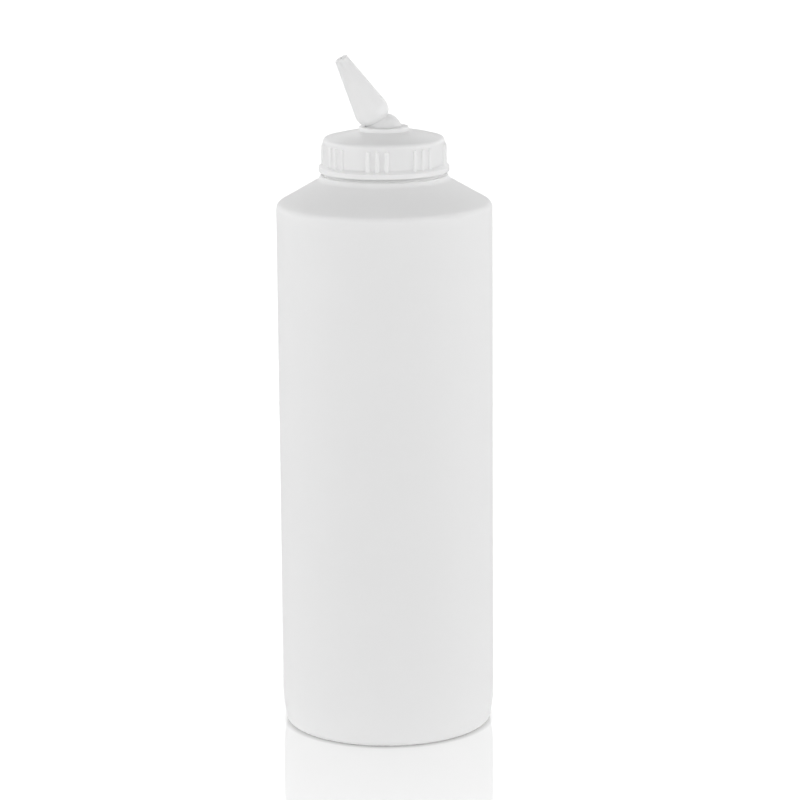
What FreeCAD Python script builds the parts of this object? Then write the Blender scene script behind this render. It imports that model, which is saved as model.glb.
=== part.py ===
"""Squeeze bottle with a screwed-on cap and a nozzle that tilts in a ball socket.

Three moulded pieces, in millimetres, +Z up, the origin at the middle of the foot:

    bottle   blow-moulded body, shoulder, neck and mouth
    cap      injection-moulded screw cap with gripping ribs and the socket collar
    nozzle   injection-moulded spout whose lower end is the ball

Every driving size is a cell of the sheet "sizes". Each piece is a PartDesign body
whose sketches and features are bound to those cells.
"""
import FreeCAD
import Part
import Sketcher
import math
import os
import re

V = FreeCAD.Vector

# ---------------------------------------------------------------- driving sizes

SIZES = [
    # the bottle
    ("body_radius", 40.0, "outside radius of the cylinder"),
    ("body_height", 198.0, "foot to the corner where wall and shoulder would meet"),
    ("shoulder_slope", 30.0, "fall of the shoulder from level, degrees"),
    ("shoulder_round", 2.9, "rounding between wall and shoulder"),
    ("foot_ring_radius", 32.5, "inner radius of the ring that the bottle stands on"),
    ("foot_ring_round", 1.5, "rounding inside the standing ring"),
    ("push_up", 3.0, "rise of the hollow base at its middle"),
    ("heel_height", 12.0, "height at which the wall starts to curve in"),
    ("heel_sweep", 50.0, "radius of the slow upper part of the heel"),
    ("heel_round", 2.1, "radius of the quick lower part of the heel"),
    ("bead_reach", 1.25, "how far the bead at the root of the neck stands out past the skirt"),
    ("bead_height", 1.3, "rise of the bead above the shoulder line"),
    ("bead_round", 0.35, "rounding of the bead's top edge"),
    ("neck_root_round", 2.4, "hollow curve from the shoulder up to the bead"),
    ("neck_step_inset", 0.1, "how far the step in the gap under the cap stands back of the skirt"),
    ("neck_wall", 2.0, "wall of the neck round the mouth"),
    ("mouth_depth", 7.0, "depth of the open mouth below its rim"),
    # how the cap sits on the bottle
    ("cap_gap", 1.3, "open gap between the bead and the cap's flange"),
    ("cap_step_clearance", 0.3, "flange to the step inside that gap"),
    ("neck_clearance", 0.3, "cap skirt to neck, on the radius"),
    ("cap_turn", -15.0, "how far round the cap has been screwed, degrees"),
    # the cap
    ("cap_radius", 22.45, "outside radius of the skirt just under its top edge"),
    ("cap_height", 12.27, "flange to the corner where skirt and top would meet"),
    ("cap_draft", 1.3, "draft of the skirt, degrees"),
    ("cap_wall", 1.3, "thickness of the skirt at its top"),
    ("cap_top_wall", 1.5, "thickness of the sloping top, measured upright"),
    ("cap_top_slope", 11.23, "rise of the top from its edge to the collar, degrees"),
    ("cap_top_dome", 80.0, "radius of the top's gentle dome"),
    ("cap_edge_round", 1.8, "rounding of the top edge"),
    ("seal_height", 10.0, "flange to the seat that the neck's rim presses on"),
    ("seal_width", 3.0, "width of that seat"),
    ("flange_reach", 1.7, "how far the flange stands out past the skirt"),
    ("flange_height", 1.9, "upright height of the flange's edge"),
    ("flange_bevel_height", 1.0, "height of the bevel from the flange to the skirt"),
    ("flange_round", 0.3, "rounding of the flange's edges"),
    # the gripping ribs
    ("rib_groups", 8, "groups of ribs round the cap"),
    ("ribs_per_group", 3, "ribs in a group"),
    ("rib_pitch", 8.7, "angle from rib to rib in a group, degrees"),
    ("rib_radius", 1.05, "radius of a rib at its foot"),
    ("rib_top_radius", 0.87, "radius of a rib where its top rounds off"),
    ("rib_inset", 0.15, "how far the ribs' upright axes stand inside the skirt"),
    ("rib_top_height", 10.3, "flange to the top of the ribs"),
    # the ball socket
    ("ball_radius", 7.05, "radius of the ball on the nozzle"),
    ("ball_height", 14.36, "flange to the middle of the ball"),
    ("ball_clearance", 0.15, "ball to socket"),
    ("socket_wall", 1.2, "thickness of the cup below the cap's top"),
    ("socket_open_height", 1.75, "height of the socket's sphere left open below"),
    ("collar_wall", 2.0, "thickness of the collar round the socket"),
    ("collar_height", 2.15, "middle of the ball up to the collar's outer edge"),
    ("lip_height", 2.2, "middle of the ball up to the lip that holds it in"),
    ("collar_round", 0.35, "rounding of the collar's outer edge"),
    # the nozzle
    ("nozzle_tilt", 29.75, "lean of the nozzle from upright, degrees"),
    ("nozzle_heading", 12.0, "turn of the lean from straight left to the front, degrees"),
    ("nozzle_length", 31.9, "middle of the ball to the tip"),
    ("bulb_radius", 6.23, "radius of the spout where its taper ends"),
    ("bulb_rise", 3.45, "top of the ball up to the end of the taper"),
    ("bulb_sweep", 7.4, "radius of the slow curve below the taper"),
    ("bulb_round", 2.8, "radius of the quick curve that turns under to the ball"),
    ("bulb_turn_rise", 0.93, "top of the ball up to the middle of the quick curve"),
    ("crease_round", 0.3, "rounding where the bulb meets the ball"),
    ("tip_radius", 2.45, "outside radius of the tip"),
    ("tip_round", 0.5, "rounding of the tip's edge"),
    ("orifice_radius", 1.1, "radius of the hole in the tip"),
    ("orifice_length", 2.5, "length of that hole before the bore widens"),
    ("bore_radius", 3.7, "radius of the bore where it enters the ball"),
    ("ball_cut_height", 1.95, "height of the ball's sphere cut off below"),
]


def make_sheet(doc):
    """The spreadsheet of driving sizes: value, alias and meaning, one size a row."""
    sheet = doc.addObject("Spreadsheet::Sheet", "sizes")
    for row, (alias, value, meaning) in enumerate(SIZES, start=1):
        sheet.set(f"A{row}", alias)
        sheet.set(f"B{row}", str(value))
        sheet.setAlias(f"B{row}", alias)
        sheet.set(f"C{row}", meaning)
    doc.recompute()
    return sheet


ALIASES = "|".join(sorted((alias for alias, _, _ in SIZES), key=len, reverse=True))


def cell(formula):
    """Writes the aliases in a formula as cells of the sheet."""
    return re.sub(rf"(?<![\w.])({ALIASES})(?!\w)", r"sizes.\1", formula)


# Sizes that follow from the driving ones, as expressions on the sheet.
BEAD_RADIUS = cell("(cap_radius + bead_reach)")
BEAD_RISE = f"(({cell('body_radius')} - {BEAD_RADIUS}) * {cell('tan(shoulder_slope)')})"
BEAD_TOP = f"({cell('body_height')} + {BEAD_RISE} + {cell('bead_height')})"
ROOT_DEPTH = cell("(bead_height * cos(shoulder_slope))")
ROOT_REACH = f"sqrt(2 * {cell('neck_root_round')} * {ROOT_DEPTH} - {ROOT_DEPTH} * {ROOT_DEPTH})"
ROOT_ACROSS = (f"({BEAD_RADIUS} - {ROOT_DEPTH} * {cell('sin(shoulder_slope)')}"
               f" + {ROOT_REACH} * {cell('cos(shoulder_slope)')})")
ROOT_UP = (f"({cell('body_height')} + ({cell('body_radius')} - {ROOT_ACROSS})"
           f" * {cell('tan(shoulder_slope)')})")
CAP_BASE = f"({BEAD_TOP} + {cell('cap_gap')})"
NECK_STEP = f"({CAP_BASE} - {cell('cap_step_clearance')})"
STEP_RADIUS = cell("(cap_radius - neck_step_inset)")
NECK_TOP = f"({CAP_BASE} + {cell('seal_height')})"
FLANGE_RADIUS = cell("(cap_radius + flange_reach)")
CAP_BORE = cell("(cap_radius - cap_wall)")
NECK_RADIUS = f"({CAP_BORE} - {cell('neck_clearance')})"
MOUTH_RADIUS = f"({NECK_RADIUS} - {cell('neck_wall')})"
BALL_CENTRE = f"({CAP_BASE} + {cell('ball_height')})"
SOCKET_RADIUS = cell("(ball_radius + ball_clearance)")
CUP_RADIUS = f"({SOCKET_RADIUS} + {cell('socket_wall')})"
SOCKET_DEPTH = cell("(ball_radius - socket_open_height)")
COLLAR_RADIUS = f"({SOCKET_RADIUS} + {cell('collar_wall')})"
BALL_CUT = cell("(ball_radius - ball_cut_height)")
BULB_HEIGHT = cell("(ball_radius + bulb_rise)")
TURN_HEIGHT = cell("(ball_radius + bulb_turn_rise)")


class Profile:
    """A sketch on one of a body's own origin planes, drawn as lines and arcs."""

    def __init__(self, body, name, plane="XZ_Plane"):
        self.sketch = body.newObject("Sketcher::SketchObject", name)
        origin_plane = [f for f in body.Origin.OriginFeatures if f.Role == plane][0]
        self.sketch.AttachmentSupport = [(origin_plane, "")]
        self.sketch.MapMode = "FlatFace"

    def value(self, formula):
        """The number that a formula on the sheet comes to."""
        return float(self.sketch.evalExpression(formula))

    def line(self, start, end):
        segment = Part.LineSegment(V(start[0], start[1], 0), V(end[0], end[1], 0))
        return self.sketch.addGeometry(segment)

    def arc(self, centre, radius, first_angle, last_angle):
        circle = Part.Circle(V(centre[0], centre[1], 0), V(0, 0, 1), radius)
        angles = math.radians(first_angle), math.radians(last_angle)
        return self.sketch.addGeometry(Part.ArcOfCircle(circle, *angles))

    def outline(self, corners):
        """A run of straight lines through corners given as pairs of formulas."""
        spots = [(self.value(across), self.value(up)) for across, up in corners]
        lines = [self.line(a, b) for a, b in zip(spots, spots[1:])]
        for before, after in zip(lines, lines[1:]):
            self.join(before, 2, after, 1)
        for index, (across, up) in enumerate(corners):
            edge, end = (lines[index], 1) if index < len(lines) else (lines[-1], 2)
            self.place(edge, end, across, up)
        return lines

    def join(self, edge, end, other, other_end):
        self.sketch.addConstraint(Sketcher.Constraint("Coincident", edge, end, other, other_end))

    def smooth(self, edge, end, other, other_end):
        """Joins two ends so that one edge runs on in the direction of the other."""
        self.sketch.addConstraint(Sketcher.Constraint("Tangent", edge, end, other, other_end))

    def place(self, edge, end, across=None, up=None):
        """Holds a point at a distance across from, and up from, the sketch's origin."""
        for kind, axis, formula in (("DistanceX", -2, across), ("DistanceY", -1, up)):
            if formula is None:
                continue
            if formula == "0":
                self.sketch.addConstraint(Sketcher.Constraint("PointOnObject", edge, end, axis))
                continue
            number = self.value(formula)
            index = self.sketch.addConstraint(
                Sketcher.Constraint(kind, -1, 1, edge, end, number))
            self.sketch.setExpression(f"Constraints[{index}]", formula)

    def radius(self, arc, formula):
        number = self.value(formula)
        index = self.sketch.addConstraint(Sketcher.Constraint("Radius", arc, number))
        self.sketch.setExpression(f"Constraints[{index}]", formula)


def new_body(doc, label):
    body = doc.addObject("PartDesign::Body", label)
    body.Label = label
    return body


def placement_of(height, turns):
    """Expression that lifts a body and turns it about upright or front-to-back axes."""
    axes = {"y": "vector(0; 1; 0)", "z": "vector(0; 0; 1)"}
    rotation = " * ".join(f"rotation({axes[axis]}; {angle})" for axis, angle in turns)
    return f"placement(vector(0; 0; {height}); {rotation})"


def revolve(body, profile, name):
    """A solid turned round the upright axis of its profile's sketch."""
    turned = body.newObject("PartDesign::Revolution", name)
    turned.Profile = profile.sketch
    turned.ReferenceAxis = (profile.sketch, ["V_Axis"])
    turned.Angle = 360
    body.Document.recompute()
    return turned


def round_rims(body, name, radius, rims):
    """Fillets the circular edges that lie at the given radii and heights."""
    base = body.Tip
    probe = body.Document.getObject("sizes")
    wanted = [(float(probe.evalExpression(r)), float(probe.evalExpression(h))) for r, h in rims]
    names = []
    for number, edge in enumerate(base.Shape.Edges, start=1):
        if edge.Degenerated or not isinstance(edge.Curve, Part.Circle):
            continue
        rim = edge.Curve.Radius, edge.Curve.Center.z
        if any(math.dist(rim, spot) < 1e-3 for spot in wanted):
            names.append(f"Edge{number}")
    if len(names) < len(rims):
        raise RuntimeError(f"{name}: found {len(names)} of {len(rims)} rims")
    fillet = body.newObject("PartDesign::Fillet", name)
    fillet.Base = (base, names)
    fillet.setExpression("Radius", radius)
    body.Document.recompute()
    return fillet


# ---------------------------------------------------------------------- bottle

def make_bottle(doc):
    """Cylinder with a soft heel, sloping shoulder, bead and open-mouthed neck."""
    body = new_body(doc, "bottle")
    section = Profile(body, "bottle_section")
    number = section.value

    lower_lines = section.outline([
        (cell("body_radius"), cell("heel_height")),
        (cell("body_radius"), cell("body_height")),
        (ROOT_ACROSS, ROOT_UP),
    ])
    lines = section.outline([
        (BEAD_RADIUS, BEAD_TOP),
        (STEP_RADIUS, BEAD_TOP),
        (STEP_RADIUS, NECK_STEP),
        (NECK_RADIUS, NECK_STEP),
        (NECK_RADIUS, NECK_TOP),
        (MOUTH_RADIUS, NECK_TOP),
        (MOUTH_RADIUS, f"({NECK_TOP} - {cell('mouth_depth')})"),
        ("0", f"({NECK_TOP} - {cell('mouth_depth')})"),
        ("0", cell("push_up")),
    ])

    # A hollow curve, tangent to the shoulder, sweeps up to the bead's edge.
    slope = math.radians(number(cell("shoulder_slope")))
    root = number(cell("neck_root_round"))
    root_centre = (number(ROOT_ACROSS) + root * math.sin(slope),
                   number(ROOT_UP) + root * math.cos(slope))
    edge_angle = math.degrees(math.atan2(number(BEAD_TOP) - root_centre[1],
                                         number(BEAD_RADIUS) - root_centre[0])) % 360
    hollow = section.arc(root_centre, root, edge_angle, 270 - math.degrees(slope))
    section.radius(hollow, cell("neck_root_round"))
    section.join(hollow, 2, lower_lines[-1], 2)
    section.join(hollow, 1, lines[0], 1)

    # The hollow base is a shallow dome whose middle lies on the axis.
    rise = number(cell("push_up"))
    ring = number(cell("foot_ring_radius"))
    dome_radius = (ring ** 2 + rise ** 2) / (2 * rise)
    dome_edge = math.degrees(math.acos(ring / dome_radius))
    dome = section.arc((0, rise - dome_radius), dome_radius, dome_edge, 90)
    section.join(lines[-1], 2, dome, 2)
    section.place(dome, 3, across="0")
    section.place(dome, 1, cell("foot_ring_radius"), "0")

    # The heel leaves the wall slowly, then turns quickly under to the foot.
    sweep = number(cell("heel_sweep"))
    small = number(cell("heel_round"))
    high = number(cell("heel_height"))
    sweep_centre = number(cell("body_radius")) - sweep, high
    turn = math.asin((high - small) / (sweep - small))
    small_centre = sweep_centre[0] + (sweep - small) * math.cos(turn), small
    upper = section.arc(sweep_centre, sweep, -math.degrees(turn), 0)
    lower = section.arc(small_centre, small, -90, -math.degrees(turn))
    foot = section.line((ring, 0), (small_centre[0], 0))
    section.radius(upper, cell("heel_sweep"))
    section.radius(lower, cell("heel_round"))
    section.smooth(upper, 2, lower_lines[0], 1)
    section.smooth(lower, 2, upper, 1)
    section.smooth(foot, 2, lower, 1)
    section.join(foot, 1, dome, 1)
    section.place(foot, 2, up="0")

    revolve(body, section, "bottle_turned")
    round_rims(body, "shoulder_corner", cell("shoulder_round"),
               [(cell("body_radius"), cell("body_height"))])
    round_rims(body, "bead_edge", cell("bead_round"), [(BEAD_RADIUS, BEAD_TOP)])
    round_rims(body, "foot_ring_edge", cell("foot_ring_round"),
               [(cell("foot_ring_radius"), "0")])
    return body


# ------------------------------------------------------------------------- cap

def skirt_radius(height):
    """Outside radius of the drafted skirt at a height above the flange."""
    return cell(f"(cap_radius + (cap_height - {height}) * tan(cap_draft))")


def top_height(radius):
    """Height, above the flange, of the straight line under the dome of the cap's top."""
    return cell(f"(cap_height + (cap_radius - {radius}) * tan(cap_top_slope))")


def make_cap_section(body):
    """Half section of the cap: skirt, sloping top, collar, socket and cup."""
    section = Profile(body, "cap_section")
    number = section.value
    bevel_top = cell("(flange_height + flange_bevel_height)")
    seat_inside = f"({CAP_BORE} - {cell('seal_width')})"
    under_top = f"({top_height(seat_inside)} - {cell('cap_top_wall')})"

    outside = section.outline([
        (CAP_BORE, "0"),
        (FLANGE_RADIUS, "0"),
        (FLANGE_RADIUS, cell("flange_height")),
        (skirt_radius(bevel_top), bevel_top),
        (cell("cap_radius"), cell("cap_height")),
        (COLLAR_RADIUS, top_height(COLLAR_RADIUS)),
        (COLLAR_RADIUS, cell("(ball_height + collar_height)")),
    ])
    inside = section.outline([
        (seat_inside, under_top),
        (seat_inside, cell("seal_height")),
        (CAP_BORE, cell("seal_height")),
    ])
    bore = section.line((number(CAP_BORE), number(cell("seal_height"))), (number(CAP_BORE), 0))
    section.join(inside[-1], 2, bore, 1)
    section.join(bore, 2, outside[0], 1)

    # The top is a gentle dome on the straight line from its edge to the collar.
    chord = outside[4]
    section.sketch.setConstruction(chord, True)
    edge = number(cell("cap_radius")), number(cell("cap_height"))
    root = number(COLLAR_RADIUS), number(top_height(COLLAR_RADIUS))
    dome_radius = number(cell("cap_top_dome"))
    half = math.dist(edge, root) / 2
    fall = math.atan2(root[1] - edge[1], edge[0] - root[0])
    below = math.sqrt(dome_radius ** 2 - half ** 2)
    middle = ((edge[0] + root[0]) / 2 - below * math.sin(fall),
              (edge[1] + root[1]) / 2 - below * math.cos(fall))
    spread = math.asin(half / dome_radius)
    dome = section.arc(middle, dome_radius, 90 - math.degrees(fall + spread),
                       90 - math.degrees(fall - spread))
    section.radius(dome, cell("cap_top_dome"))
    section.join(dome, 1, outside[3], 2)
    section.join(dome, 2, outside[5], 1)

    # The socket is a sphere round the ball, open above the lip and below the cup.
    ball = number(cell("ball_height"))
    socket = number(SOCKET_RADIUS)
    cup = number(CUP_RADIUS)
    depth = number(SOCKET_DEPTH)
    lip_angle = math.degrees(math.asin(number(cell("lip_height")) / socket))
    low_angle = -math.degrees(math.asin(depth / socket))
    cup_low_angle = -math.degrees(math.asin(depth / cup))
    slope = math.tan(math.radians(number(cell("cap_top_slope"))))
    cup_top = number(under_top) + (number(seat_inside) - cup) * slope - ball
    cup_top_angle = math.degrees(math.asin(cup_top / cup))

    bowl = section.arc((0, ball), socket, low_angle, lip_angle)
    shell = section.arc((0, ball), cup, cup_low_angle, cup_top_angle)
    lip = (socket * math.cos(math.radians(lip_angle)), ball + number(cell("lip_height")))
    collar = (number(COLLAR_RADIUS), ball + number(cell("collar_height")))
    rim = section.line(collar, lip)
    foot = section.line((math.sqrt(socket ** 2 - depth ** 2), ball - depth),
                        (math.sqrt(cup ** 2 - depth ** 2), ball - depth))
    ceiling = section.line((cup * math.cos(math.radians(cup_top_angle)), ball + cup_top),
                           (number(seat_inside), number(under_top)))
    for arc, size in ((bowl, SOCKET_RADIUS), (shell, CUP_RADIUS)):
        section.place(arc, 3, "0", cell("ball_height"))
        section.radius(arc, size)
    section.join(outside[-1], 2, rim, 1)
    section.join(rim, 2, bowl, 2)
    section.place(bowl, 2, up=cell("(ball_height + lip_height)"))
    section.join(bowl, 1, foot, 1)
    section.join(foot, 2, shell, 1)
    section.place(foot, 1, up=f"({cell('ball_height')} - {SOCKET_DEPTH})")
    section.place(foot, 2, up=f"({cell('ball_height')} - {SOCKET_DEPTH})")
    section.join(shell, 2, ceiling, 1)
    section.join(ceiling, 2, inside[0], 1)
    section.sketch.addConstraint(Sketcher.Constraint("Parallel", ceiling, chord))
    return section


def add_ribs(body):
    """One drafted rib with a domed top, copied into groups round the skirt."""
    section = Profile(body, "rib_section")
    section.sketch.setExpression("AttachmentOffset.Base.x", cell("(cap_radius - rib_inset)"))
    number = section.value
    top_radius = number(cell("rib_top_radius"))
    shoulder = number(cell("(rib_top_height - rib_top_radius)"))
    lines = section.outline([
        ("0", cell("rib_top_height")),
        ("0", cell("(flange_height * 0.5)")),
        (cell("rib_radius"), cell("(flange_height * 0.5)")),
        (cell("rib_top_radius"), cell("(rib_top_height - rib_top_radius)")),
    ])
    dome = section.arc((0, shoulder), top_radius, 0, 90)
    section.join(lines[-1], 2, dome, 1)
    section.join(dome, 2, lines[0], 1)
    section.place(dome, 3, "0")
    rib = revolve(body, section, "rib")

    axis = [f for f in body.Origin.OriginFeatures if f.Role == "Z_Axis"][0]
    ribs = body.newObject("PartDesign::MultiTransform", "ribs")
    group = body.newObject("PartDesign::PolarPattern", "rib_group")
    circle = body.newObject("PartDesign::PolarPattern", "rib_circle")
    for pattern in (group, circle):
        pattern.Axis = (axis, [""])
    group.setExpression("Angle", cell("(rib_pitch * (ribs_per_group - 1))"))
    group.setExpression("Occurrences", cell("ribs_per_group"))
    circle.Angle = 360
    circle.setExpression("Occurrences", cell("rib_groups"))
    ribs.Originals = [rib]
    ribs.Transformations = [group, circle]
    body.Tip = ribs
    body.Document.recompute()
    return ribs


def make_cap(doc):
    """Screw cap: ribbed skirt on a flange, sloping top, collar and ball socket."""
    body = new_body(doc, "cap")
    revolve(body, make_cap_section(body), "cap_turned")
    bevel_top = cell("(flange_height + flange_bevel_height)")
    round_rims(body, "top_edge", cell("cap_edge_round"),
               [(cell("cap_radius"), cell("cap_height"))])
    round_rims(body, "small_edges", cell("flange_round"), [
        (FLANGE_RADIUS, "0"),
        (FLANGE_RADIUS, cell("flange_height")),
        (skirt_radius(bevel_top), bevel_top),
    ])
    round_rims(body, "collar_edges", cell("collar_round"), [
        (COLLAR_RADIUS, top_height(COLLAR_RADIUS)),
        (COLLAR_RADIUS, cell("(ball_height + collar_height)")),
    ])
    add_ribs(body)
    body.setExpression("Placement", placement_of(CAP_BASE, [("z", cell("cap_turn"))]))
    return body


# ---------------------------------------------------------------------- nozzle

def make_nozzle(doc):
    """Tapering spout on a rounded bulb and a ball, with a bore right through."""
    body = new_body(doc, "nozzle")
    section = Profile(body, "nozzle_section")
    number = section.value
    bore_end = cell("(nozzle_length - orifice_length)")
    straight = section.outline([
        (cell("tip_radius"), cell("nozzle_length")),
        (cell("orifice_radius"), cell("nozzle_length")),
        (cell("orifice_radius"), bore_end),
        (cell("bore_radius"), f"(0 - {BALL_CUT})"),
    ])

    ball_radius = number(cell("ball_radius"))
    sweep = number(cell("bulb_sweep"))
    bulb_round = number(cell("bulb_round"))
    taper_end = number(cell("bulb_radius")), number(BULB_HEIGHT)
    tip = number(cell("tip_radius")), number(cell("nozzle_length"))
    cut = number(BALL_CUT)
    taper = math.atan2(taper_end[0] - tip[0], tip[1] - taper_end[1])
    flank = (taper_end[0] - sweep * math.cos(taper), taper_end[1] - sweep * math.sin(taper))
    # the quick curve leaves the slow one where their middles line up
    turn = math.asin((number(TURN_HEIGHT) - flank[1]) / (sweep - bulb_round))
    under = flank[0] + (sweep - bulb_round) * math.cos(turn), number(TURN_HEIGHT)
    # it meets the ball where their circles cross, on the outer side
    reach = math.hypot(*under)
    along = (reach ** 2 + ball_radius ** 2 - bulb_round ** 2) / (2 * reach)
    aside = math.sqrt(ball_radius ** 2 - along ** 2)
    unit = under[0] / reach, under[1] / reach
    crease = unit[0] * along + unit[1] * aside, unit[1] * along - unit[0] * aside
    crease_on_ball = math.degrees(math.atan2(crease[1], crease[0]))
    crease_on_bulb = math.degrees(math.atan2(crease[1] - under[1], crease[0] - under[0]))

    ball = section.arc((0, 0), ball_radius, -math.degrees(math.asin(cut / ball_radius)),
                       crease_on_ball)
    lower = section.arc(under, bulb_round, crease_on_bulb, math.degrees(turn))
    upper = section.arc(flank, sweep, math.degrees(turn), math.degrees(taper))
    side = section.line(taper_end, tip)
    end = section.line((number(cell("bore_radius")), -cut),
                       (math.sqrt(ball_radius ** 2 - cut ** 2), -cut))
    section.place(ball, 3, "0", "0")
    section.radius(ball, cell("ball_radius"))
    section.radius(lower, cell("bulb_round"))
    section.radius(upper, cell("bulb_sweep"))
    section.join(straight[-1], 2, end, 1)
    section.join(end, 2, ball, 1)
    section.place(ball, 1, up=f"(0 - {BALL_CUT})")
    section.join(ball, 2, lower, 1)
    section.smooth(lower, 2, upper, 1)
    section.place(lower, 3, up=TURN_HEIGHT)
    section.smooth(upper, 2, side, 1)
    section.place(side, 1, cell("bulb_radius"), BULB_HEIGHT)
    section.join(side, 2, straight[0], 1)

    revolve(body, section, "nozzle_turned")
    round_rims(body, "tip_edge", cell("tip_round"), [(cell("tip_radius"), cell("nozzle_length"))])
    round_rims(body, "bulb_crease", cell("crease_round"), [(str(crease[0]), str(crease[1]))])
    lean = [("z", cell("nozzle_heading")), ("y", cell("(0 - nozzle_tilt)"))]
    body.setExpression("Placement", placement_of(BALL_CENTRE, lean))
    return body


# ---------------------------------------------------------------------- export

def check(doc, bodies):
    """Stops when a feature has failed or a body isn't one sound solid."""
    for item in doc.Objects:
        if "Invalid" in item.State or "Error" in item.State:
            raise RuntimeError(f"{item.Name}: {item.State}")
    for body in bodies:
        shape = body.Shape
        if shape.isNull() or not shape.isValid() or len(shape.Solids) != 1:
            raise RuntimeError(f"{body.Label}: not one sound solid")


def main():
    doc = FreeCAD.newDocument("squeeze_bottle")
    make_sheet(doc)
    bodies = [make_bottle(doc), make_cap(doc), make_nozzle(doc)]
    doc.recompute()
    check(doc, bodies)
    os.makedirs("parts", exist_ok=True)
    for body in bodies:
        body.Shape.exportStep(f"parts/{body.Label}.step")
        box = body.Shape.BoundBox
        print(body.Label, round(body.Shape.Volume), "mm3", box)


main()
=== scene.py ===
# %% [markdown]
# # A squeeze bottle with a tilting nozzle
# The bottle is three mouldings: a blown body, a screw cap and a spout that ends in a ball.
# The imported model is loaded first, and the height of each part is printed. It is in
# metres, stands on z = 0 and has its front towards -Y.

# %% Load the imported model
import math

import bpy
from mathutils import Matrix, Vector


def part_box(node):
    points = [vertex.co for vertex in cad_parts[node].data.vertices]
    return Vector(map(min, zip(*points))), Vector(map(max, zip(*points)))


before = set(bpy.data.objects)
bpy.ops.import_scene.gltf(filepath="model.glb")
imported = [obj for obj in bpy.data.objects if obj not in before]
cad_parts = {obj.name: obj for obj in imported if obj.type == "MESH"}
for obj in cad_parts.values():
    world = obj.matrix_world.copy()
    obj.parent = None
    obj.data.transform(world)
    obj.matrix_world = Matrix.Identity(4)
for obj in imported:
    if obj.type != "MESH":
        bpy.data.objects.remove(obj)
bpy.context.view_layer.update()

MM = 0.001
for name in sorted(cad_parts):
    low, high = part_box(name)
    print(name, "stands from", round(low.z / MM, 1), "to", round(high.z / MM, 1), "mm")


# %% [markdown]
# ## Even shading on the mouldings
# The loaded meshes are loose triangles, so each one is shaded flat. On the real plastic the
# light runs on smoothly round the wall and breaks only at true edges. Three modifiers give
# that without moving a point: Weld joins the triangles, Edge Split keeps the true edges,
# and Weighted Normal lets the large faces set the direction of the light, so the long wall
# doesn't pick up the tilt of the narrow bands beside it.

# %% Shade the three mouldings
TRUE_EDGE = math.radians(24)
SAME_POINT = 0.002 * MM
FACE_AREA_WEIGHT = 60


def shade_moulding(piece):
    """Joins, splits and weights the shading of a loaded mesh with modifiers."""
    bpy.ops.object.select_all(action="DESELECT")
    piece.select_set(True)
    bpy.context.view_layer.objects.active = piece
    if piece.data.has_custom_normals:
        bpy.ops.mesh.customdata_custom_splitnormals_clear()
    bpy.ops.object.shade_smooth()
    weld = piece.modifiers.new("join triangles", "WELD")
    weld.merge_threshold = SAME_POINT
    split = piece.modifiers.new("keep true edges", "EDGE_SPLIT")
    split.split_angle = TRUE_EDGE
    split.use_edge_sharp = False
    weighted = piece.modifiers.new("large faces lead", "WEIGHTED_NORMAL")
    weighted.weight = FACE_AREA_WEIGHT
    print(piece.name, len(piece.data.polygons), "triangles, shaded smooth")


bottle, cap, nozzle = (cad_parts[name] for name in ("bottle", "cap", "nozzle"))
for moulding in (bottle, cap, nozzle):
    shade_moulding(moulding)


# %% [markdown]
# ## Three plastics
# All three pieces are white, but they are not the same stuff. The body is blown
# high-density polyethylene, which is waxy: its gloss is broad and weak. The cap is
# injection-moulded polypropylene, harder and smoother. The nozzle is low-density
# polyethylene, the softest, and lets the light furthest in. In all three the light scatters
# a few millimetres under the surface before it comes out, which softens the shadows in the
# creases. Each has its real refractive index. A fine bump stands for the sparked surface of
# the mould, and a blown body also has the faint ridge where the mould's halves met.

# %% One helper for colours and one for nodes
def linear(code):
    """Linear red, green, blue and alpha of an sRGB colour such as #FFFFFF."""
    channels = [int(code[i:i + 2], 16) / 255 for i in (1, 3, 5)]
    return [c / 12.92 if c <= 0.04045 else ((c + 0.055) / 1.055) ** 2.4 for c in channels] + [1.0]


def add_node(tree, kind, settings=None, values=None, links=None):
    """Adds a node, sets its properties and inputs, and links its inputs to outputs."""
    node = tree.nodes.new(kind)
    for key, value in (settings or {}).items():
        setattr(node, key, value)
    for key, value in (values or {}).items():
        node.inputs[key].default_value = value
    for key, output in (links or {}).items():
        tree.links.new(output, node.inputs[key])
    return node


def remap(tree, source, start, end, first, last, smooth=True):
    """Turns start to end of a value into first to last, and holds it level outside."""
    blend = "SMOOTHSTEP" if smooth else "LINEAR"
    return add_node(tree, "ShaderNodeMapRange", {"interpolation_type": blend},
                    {"From Min": start, "From Max": end, "To Min": first, "To Max": last},
                    {"Value": source}).outputs[0]


def combine(tree, operation, *inputs):
    """Joins values with one operation of the math node."""
    return add_node(tree, "ShaderNodeMath", {"operation": operation}, {},
                    dict(enumerate(inputs))).outputs[0]


# %% Moulded plastic
CLOUD_MM = 38


def seam_ridge(tree, place, point, normal, width_mm):
    """Height of a mould's parting line, 1 on the plane through a point and 0 beside it."""
    offset = add_node(tree, "ShaderNodeVectorMath", {"operation": "SUBTRACT"}, {1: point},
                      {0: place})
    across = add_node(tree, "ShaderNodeVectorMath", {"operation": "DOT_PRODUCT"}, {1: normal},
                      {0: offset.outputs["Vector"]})
    aside = combine(tree, "ABSOLUTE", across.outputs["Value"])
    return remap(tree, aside, 0.0, width_mm * MM, 1.0, 0.0)


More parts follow.
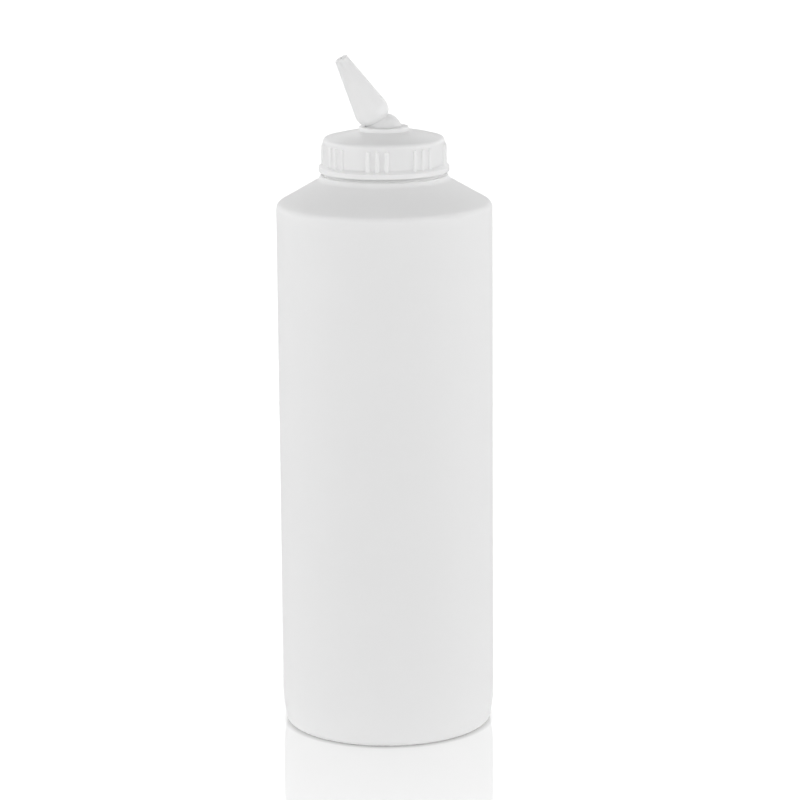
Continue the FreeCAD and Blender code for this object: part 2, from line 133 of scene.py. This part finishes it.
def moulded_plastic(name, shade, tint, roughness, ior, gloss, grain_mm, grain_depth_mm, glow_mm,
                    seam=None):
    """White plastic with a mottled tone, the grain of its mould and the mould's parting line.

    gloss is the strength of the mirrored light, glow_mm how far light scatters inside, and
    seam the parting line's point, normal, half width and height, the last two in mm.
    """
    material = bpy.data.materials.new(name)
    material.use_nodes = True
    tree = material.node_tree
    tree.nodes.clear()
    place = add_node(tree, "ShaderNodeTexCoord").outputs["Object"]
    clouds = add_node(tree, "ShaderNodeTexNoise", {}, {"Scale": 1 / (CLOUD_MM * MM), "Detail": 2.0},
                      {"Vector": place})
    tone = add_node(tree, "ShaderNodeMix", {"data_type": "RGBA"},
                    {"A": linear(shade), "B": linear(tint)}, {"Factor": clouds.outputs["Fac"]})
    grain = add_node(tree, "ShaderNodeTexNoise", {}, {"Scale": 1 / (grain_mm * MM), "Detail": 3.0},
                     {"Vector": place})
    relief = add_node(tree, "ShaderNodeBump", {},
                      {"Strength": 1.0, "Distance": grain_depth_mm * MM},
                      {"Height": grain.outputs["Fac"]})
    if seam:
        point, normal, width_mm, height_mm = seam
        ridge = seam_ridge(tree, place, point, normal, width_mm)
        relief = add_node(tree, "ShaderNodeBump", {}, {"Strength": 1.0, "Distance": height_mm * MM},
                          {"Height": ridge, "Normal": relief.outputs["Normal"]})
    shader = add_node(tree, "ShaderNodeBsdfPrincipled", {},
                      {"Roughness": roughness, "IOR": ior, "Specular IOR Level": gloss,
                       "Subsurface Weight": 1.0, "Subsurface Radius": (1.0, 1.0, 1.0),
                       "Subsurface Scale": glow_mm * MM},
                      {"Base Color": tone.outputs["Result"], "Normal": relief.outputs["Normal"]})
    add_node(tree, "ShaderNodeOutputMaterial", {}, {}, {"Surface": shader.outputs["BSDF"]})
    return material


def coat(piece, material):
    """Gives a piece one material in place of those it had."""
    piece.data.materials.clear()
    piece.data.materials.append(material)


# Blown body: the parting line lies in the plane through its axis, from left to right.
coat(bottle, moulded_plastic("blow_moulded_polyethylene", "#FAFAF9", "#F8F8F8",
                             roughness=0.55, ior=1.53, gloss=0.30, grain_mm=1.6,
                             grain_depth_mm=0.004, glow_mm=2.5,
                             seam=((0, 0, 0), (0, 1, 0), 0.5, 0.08)))
# Injection-moulded cap, from a smoother mould.
coat(cap, moulded_plastic("injection_moulded_polypropylene", "#F5F5F5", "#F3F3F3",
                          roughness=0.30, ior=1.49, gloss=0.40, grain_mm=0.9,
                          grain_depth_mm=0.002, glow_mm=1.0))
# Injection-moulded nozzle, of a softer and more translucent plastic.
coat(nozzle, moulded_plastic("soft_polyethylene", "#F6F6F6", "#F4F4F4",
                             roughness=0.36, ior=1.51, gloss=0.35, grain_mm=0.9,
                             grain_depth_mm=0.002, glow_mm=3.5))


# %% [markdown]
# ## The floor
# The bottle stands on a pale, slightly polished table that runs out of sight. It darkens
# where the bottle stops the light and mirrors the foot faintly. Seen by the camera, the
# table also glows a little, least at the foot and more further out, so that it comes out
# white; the dimmer glow paints shade on the line of contact and round the foot, on top of
# the real shadow. Seen by the bottle it is plain white paint with a painted glow close to
# the foot, a made-up light that keeps the lower wall as light as the rest.

# %% Make the floor
# Distances from the bottle's axis at which the table's look changes.
FOOT, WALL, PAINTED_SHADE_END, BESIDE = 37.2 * MM, 40 * MM, 40.8 * MM, 42 * MM
AROUND, PAINTED_GLOW_END, FAR = 130 * MM, 220 * MM, 300 * MM

bpy.ops.object.select_all(action="DESELECT")
bpy.ops.mesh.primitive_plane_add(size=14, location=(0, 4.0, 0))
floor = bpy.context.object
floor.name = "table"
bpy.ops.object.transform_apply(location=True)
surface = bpy.data.materials.new("white_table")
surface.use_nodes = True
tree = surface.node_tree
tree.nodes.clear()
spot = add_node(tree, "ShaderNodeTexCoord").outputs["Object"]
away = add_node(tree, "ShaderNodeVectorMath", {"operation": "LENGTH"}, {},
                {0: spot}).outputs["Value"]

# The table as the camera sees it: matt paint under a polish, and a glow.
matt = add_node(tree, "ShaderNodeBsdfDiffuse", {}, {"Color": linear("#A0A0A0")})
polish = add_node(tree, "ShaderNodeBsdfGlossy", {},
                  {"Color": linear("#FFFFFF"), "Roughness": 0.012})
share = remap(tree, away, WALL, AROUND, 0.36, 0.24, smooth=False)
painted = add_node(tree, "ShaderNodeMixShader", {}, {},
                   {0: share, 1: matt.outputs[0], 2: polish.outputs[0]})
# The glow is dimmest at the foot and grows outwards, which paints shade on the line of contact and
# round the bottle; the rest of the darkening there is the real shadow on the matt paint.
glow_with_painted_contact_shade = remap(tree, away, FOOT, PAINTED_SHADE_END, 0.10, 0.43, smooth=False)
near = remap(tree, away, BESIDE, AROUND, 0.0, 0.14, smooth=False)
far = remap(tree, away, AROUND, FAR, 0.0, 0.25, smooth=False)
lift = combine(tree, "ADD", combine(tree, "ADD", glow_with_painted_contact_shade, near), far)
glow = add_node(tree, "ShaderNodeEmission", {}, {}, {"Strength": lift})
bright = add_node(tree, "ShaderNodeAddShader", {}, {}, {0: painted.outputs[0], 1: glow.outputs[0]})

# The table as the bottle sees it: white paint and a painted glow near the foot, a made-up light on
# the bottle's lower wall.
plain = add_node(tree, "ShaderNodeBsdfDiffuse", {}, {"Color": linear("#F2F2F2")})
painted_foot_glow = remap(tree, away, WALL, PAINTED_GLOW_END, 0.07, 0.0)
fill = add_node(tree, "ShaderNodeEmission", {}, {}, {"Strength": painted_foot_glow})
under = add_node(tree, "ShaderNodeAddShader", {}, {}, {0: plain.outputs[0], 1: fill.outputs[0]})

seen = add_node(tree, "ShaderNodeLightPath").outputs["Is Camera Ray"]
look = add_node(tree, "ShaderNodeMixShader", {}, {},
                {0: seen, 1: under.outputs[0], 2: bright.outputs[0]})
add_node(tree, "ShaderNodeOutputMaterial", {}, {}, {"Surface": look.outputs[0]})
coat(floor, surface)
print(floor.name, "is", round(floor.dimensions.x, 1), "m wide and stands at z = 0")


# %% [markdown]
# ## Light
# The studio is a white sweep with a dim ceiling: the light is strong near the horizon and
# falls off overhead, so the sloping shoulder and the cap's top come out darker than the
# upright wall. It is dimmer in front, where the camera stands, which leaves the wall a
# little lighter at its left and right than in the middle. A dark screen low behind keeps
# the rounded edges of the cap from shining, and two weak softboxes stand at the sides.

# %% Light the studio
HORIZON, CEILING = 1.50, 0.30
CAMERA_SIDE_LOSS = 0.16
SCREEN_LOSS = 0.7

world = bpy.data.worlds.new("studio")
bpy.context.scene.world = world
world.use_nodes = True
tree = world.node_tree
tree.nodes.clear()
way = add_node(tree, "ShaderNodeTexCoord").outputs["Generated"]
parts = add_node(tree, "ShaderNodeSeparateXYZ", {}, {}, {"Vector": way})
back, up = parts.outputs["Y"], parts.outputs["Z"]
height = remap(tree, up, 0.2, 0.8, HORIZON, CEILING)
front = remap(tree, back, -1.0, 0.0, CAMERA_SIDE_LOSS, 0.0)
low = remap(tree, up, 0.3, 0.9, 1.0, 0.0)
shade = combine(tree, "MULTIPLY", front, low)
behind = remap(tree, back, 0.86, 0.95, 0.0, SCREEN_LOSS)
screen_top = remap(tree, up, 0.19, 0.27, 1.0, 0.0)
losses = combine(tree, "MULTIPLY_ADD", behind, screen_top, shade)
light = combine(tree, "SUBTRACT", height, losses)
sky = add_node(tree, "ShaderNodeBackground", {}, {"Color": linear("#FFFFFF")},
               {"Strength": light})
add_node(tree, "ShaderNodeOutputWorld", {}, {}, {"Surface": sky.outputs[0]})


def softbox(name, place, aim, size, watts):
    """A square area lamp that looks from one point at another."""
    bpy.ops.object.light_add(type="AREA", location=place)
    lamp = bpy.context.object
    lamp.name = name
    lamp.data.size = size
    lamp.data.energy = watts
    lamp.rotation_euler = (Vector(aim) - Vector(place)).to_track_quat("-Z", "Y").to_euler()
    return lamp


for name, side in (("left_softbox", -1), ("right_softbox", 1)):
    lamp = softbox(name, (side * 1.3, -0.5, 0.35), aim=(0, 0, 0.12), size=0.8, watts=1.8)
    print(lamp.name, lamp.data.energy, "W")


# %% [markdown]
# ## Camera
# A long lens from 1.2 m in front and 0.4 m up, looking 12.45 degrees down. It is turned and
# rolled by less than half a degree, as on a hand-set tripod.

# %% Aim the camera
PITCH, HEADING, ROLL = 77.55, -0.248, -0.432

bpy.ops.object.camera_add(location=(0, -1211 * MM, 390.7 * MM))
camera = bpy.context.object
camera.data.sensor_width = 36
camera.data.lens = 149.1
turn = (Matrix.Rotation(math.radians(HEADING), 3, "Z")
        @ Matrix.Rotation(math.radians(PITCH), 3, "X")
        @ Matrix.Rotation(math.radians(ROLL), 3, "Z"))
camera.rotation_euler = turn.to_euler()
bpy.context.scene.camera = camera
bpy.context.scene.view_settings.view_transform = "Standard"
print(camera.name, round(camera.data.lens, 1), "mm lens")
